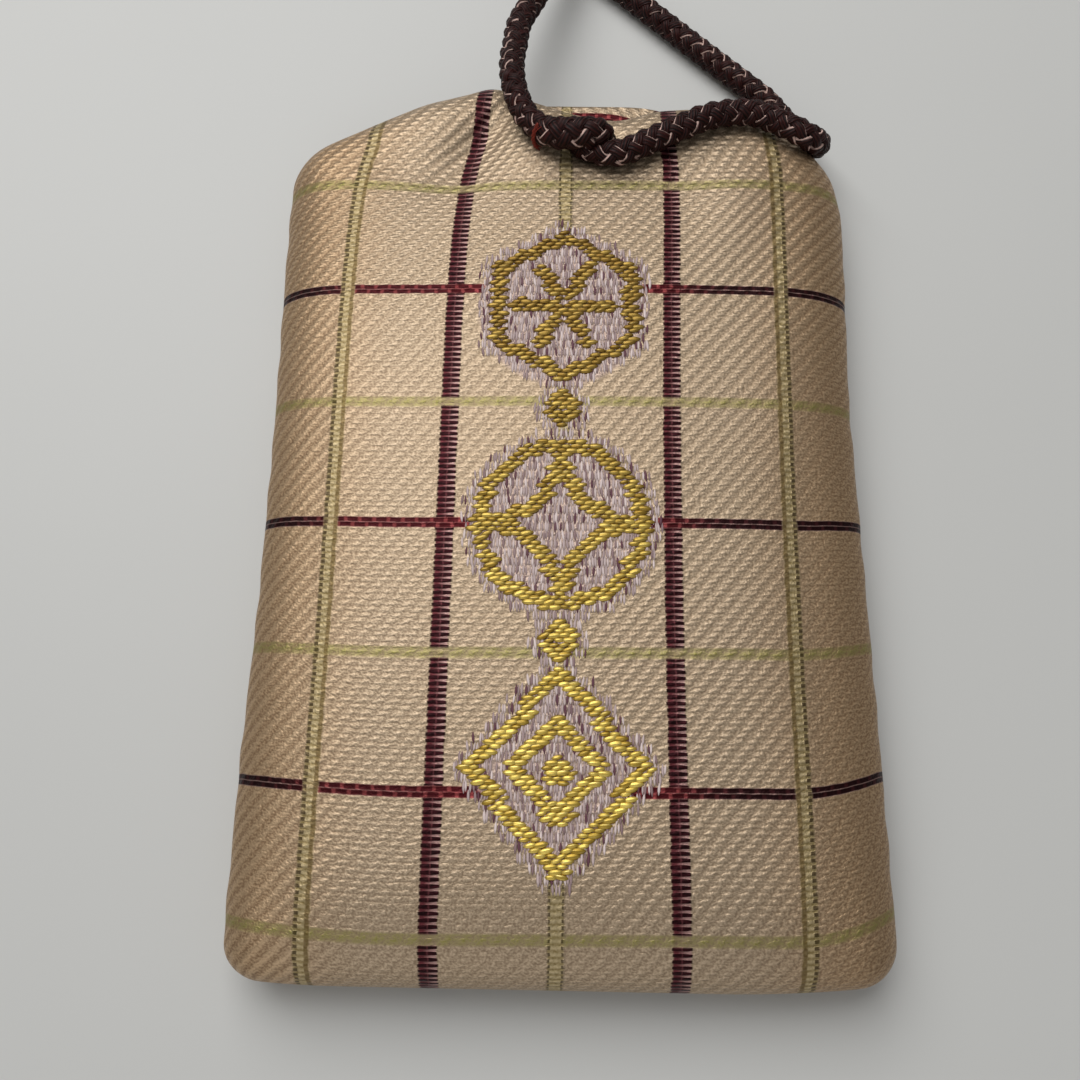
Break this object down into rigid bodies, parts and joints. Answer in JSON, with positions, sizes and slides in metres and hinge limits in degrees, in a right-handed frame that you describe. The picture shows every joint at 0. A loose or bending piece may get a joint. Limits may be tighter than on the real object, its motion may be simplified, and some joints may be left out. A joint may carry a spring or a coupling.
{
  "type": "charm pouch",
  "caption": "Padded brocade charm pouch with sloped shoulders, a seamed edge and a tied braided cord loop for hanging, holding a wooden tablet in a paper sleeve.",
  "frame": {"origin": "middle of the pouch's footprint, on the surface that its back lies on", "axes": "+X across the pouch to its right as seen from the front, +Y up the pouch to its mouth, +Z out of its front face"},
  "size_m": [0.05, 0.1298, 0.0117],
  "materials": {
    "brocade_cloth": "satin",
    "interlining": "matte",
    "wadding": "matte",
    "seam_thread": "matte",
    "braided_cord": "satin",
    "tack_thread": "satin",
    "cypress_wood": "matte",
    "folded_paper": "matte"
  },
  "bodies": {
    "pouch": {"front_panel": "brocade_cloth", "back_panel": "brocade_cloth", "front_interlining": "interlining", "back_interlining": "interlining", "front_wadding": "wadding", "back_wadding": "wadding", "seam_needle_thread": "seam_thread", "seam_bobbin_thread": "seam_thread", "left_strand": "braided_cord", "shoulder_strand": "braided_cord", "stopper_knot": "braided_cord", "tack_stitch": "tack_thread"},
    "slip": {"prayer_board": "cypress_wood", "paper_wrapper": "folded_paper"},
    "loop": {"hanging_loop": "braided_cord"}
  },
  "joints": [
    {"name": "loop_swing", "type": "hinge", "parent": "pouch", "child": "loop", "pos_m": [-0.0048, 0.0418, 0.0079], "axis": [0.9625, 0, -0.2712], "range_deg": [0, 90]},
    {"name": "slip_slide", "type": "slide", "parent": "pouch", "child": "slip", "axis": [0, 1, 0], "range_m": [0, 0.003]}
  ]
}
